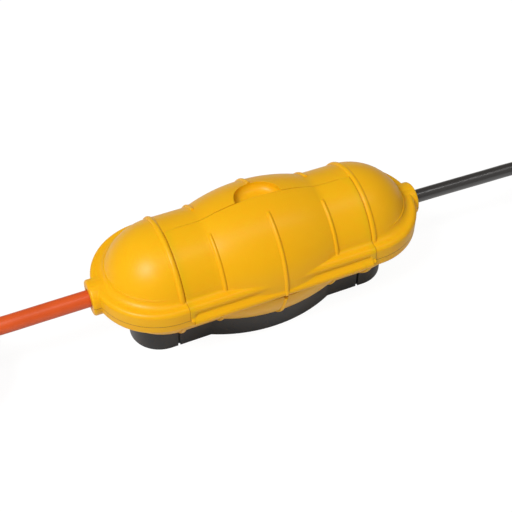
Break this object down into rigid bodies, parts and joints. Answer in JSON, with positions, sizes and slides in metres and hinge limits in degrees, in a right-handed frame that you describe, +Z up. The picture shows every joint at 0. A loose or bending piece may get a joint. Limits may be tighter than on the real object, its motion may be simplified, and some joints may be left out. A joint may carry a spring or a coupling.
{
  "type": "cable joint safety box",
  "caption": "Weatherproof clamshell capsule with latch flap and base, holding the joined plug and coupler of an orange lead and a black lead.",
  "frame": {"origin": "centre of the capsule's footprint, on the floor under the base", "axes": "+X along the leads towards the black lead, +Y from the latch flap towards the rear hinge, +Z up"},
  "size_m": [0.8806, 0.1, 0.0955],
  "materials": {
    "yellow_shell": "fine satin grain",
    "black_base": "satin",
    "seal_rubber": "matt",
    "steel": "brushed",
    "black_rubber": "matt",
    "insert_plastic": "semi-gloss",
    "brass": "bright",
    "orange_jacket": "matt",
    "black_jacket": "satin"
  },
  "bodies": {
    "shell": {"base": "black_base", "base_screws": "steel", "lower_shell": "yellow_shell", "rim_seal": "seal_rubber", "lower_seal_left": "seal_rubber", "lower_seal_right": "seal_rubber", "hinge_pins": "steel", "flap_pin": "steel", "orange_plug_body": "black_rubber", "orange_plug_nose": "insert_plastic", "orange_plug_pins": "steel", "orange_plug_earth": "steel", "orange_plug_boot": "black_rubber", "black_coupler_body": "black_rubber", "black_coupler_insert": "insert_plastic", "black_coupler_contacts": "brass", "black_coupler_earth": "steel", "black_coupler_boot": "black_rubber", "orange_cord": "orange_jacket", "orange_hank": "orange_jacket", "orange_ties": "black_rubber", "orange_tail": "orange_jacket", "orange_coupler_body": "black_rubber", "orange_coupler_insert": "insert_plastic", "orange_coupler_contacts": "brass", "orange_coupler_earth": "steel", "orange_coupler_boot": "black_rubber", "black_cord": "black_jacket", "black_hank": "black_jacket", "black_ties": "black_rubber", "black_tail": "black_jacket", "black_plug_body": "black_rubber", "black_plug_nose": "insert_plastic", "black_plug_pins": "steel", "black_plug_earth": "steel", "black_plug_boot": "black_rubber"},
    "lid": {"lid": "yellow_shell", "upper_seal_left": "seal_rubber", "upper_seal_right": "seal_rubber"},
    "flap": {"latch_flap": "yellow_shell"}
  },
  "joints": [
    {"name": "lid_hinge", "type": "hinge", "parent": "shell", "child": "lid", "pos_m": [0, 0.0468, 0.0501], "axis": [-1, 0, 0], "range_deg": [0, 90]},
    {"name": "flap_hinge", "type": "hinge", "parent": "shell", "child": "flap", "pos_m": [0, -0.0462, 0.0486], "axis": [1, 0, 0], "range_deg": [0, 104]}
  ],
  "couplings": [
    {"joint": "flap_hinge", "follows": "lid_hinge", "ratio": 1.15}
  ]
}
